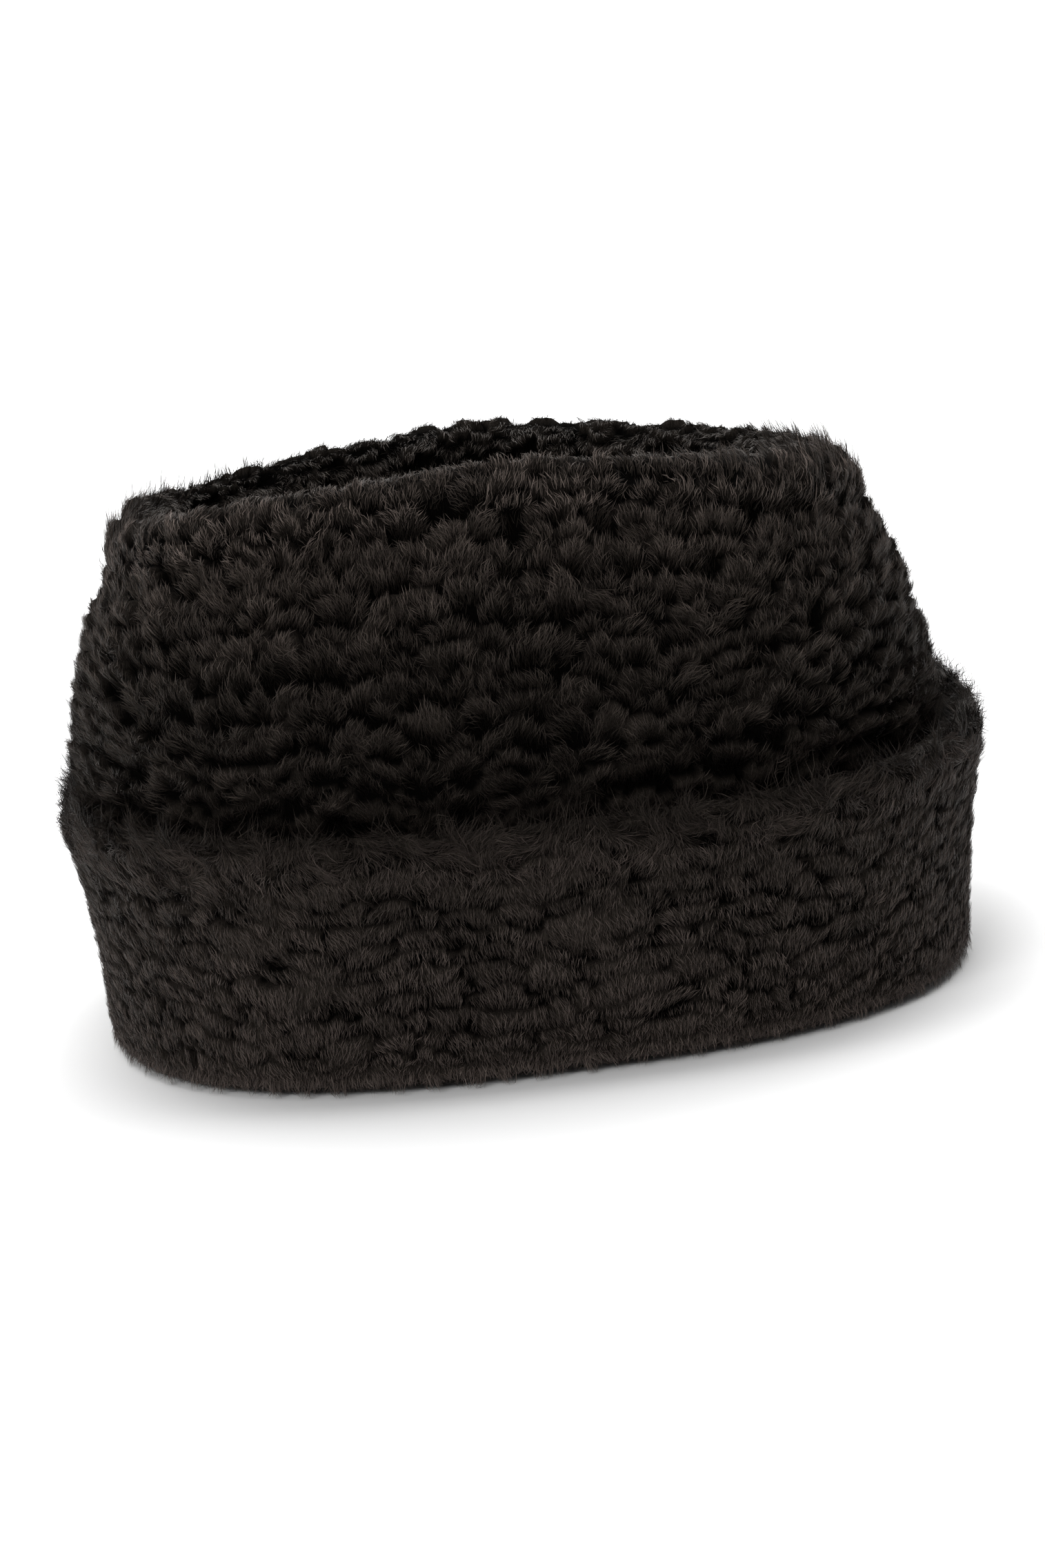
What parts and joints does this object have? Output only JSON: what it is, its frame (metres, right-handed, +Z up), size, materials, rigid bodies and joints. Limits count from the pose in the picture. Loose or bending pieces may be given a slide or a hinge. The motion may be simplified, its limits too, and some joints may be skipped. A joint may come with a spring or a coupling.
{
  "type": "karakul hat",
  "caption": "Tall oval hat of black curled pile fabric with a sunken top and a deep turned-up cuff, hollow below for the head.",
  "frame": {"origin": "middle of the footprint's box, on the surface that the hat stands on", "axes": "+Z up through the crown, -Y towards the front of the hat, +X to its left as worn"},
  "size_m": [0.2188, 0.2426, 0.13],
  "materials": {
    "crown_pile": "black pile in short tight curls, soft sheen",
    "tip_pile": "black pile in short tight curls, soft sheen",
    "cuff_pile": "black pile brushed into long low waves, soft sheen"
  },
  "bodies": {
    "root": {"crown_side": "crown_pile", "crown_tip": "tip_pile", "cuff": "cuff_pile"}
  },
  "joints": []
}
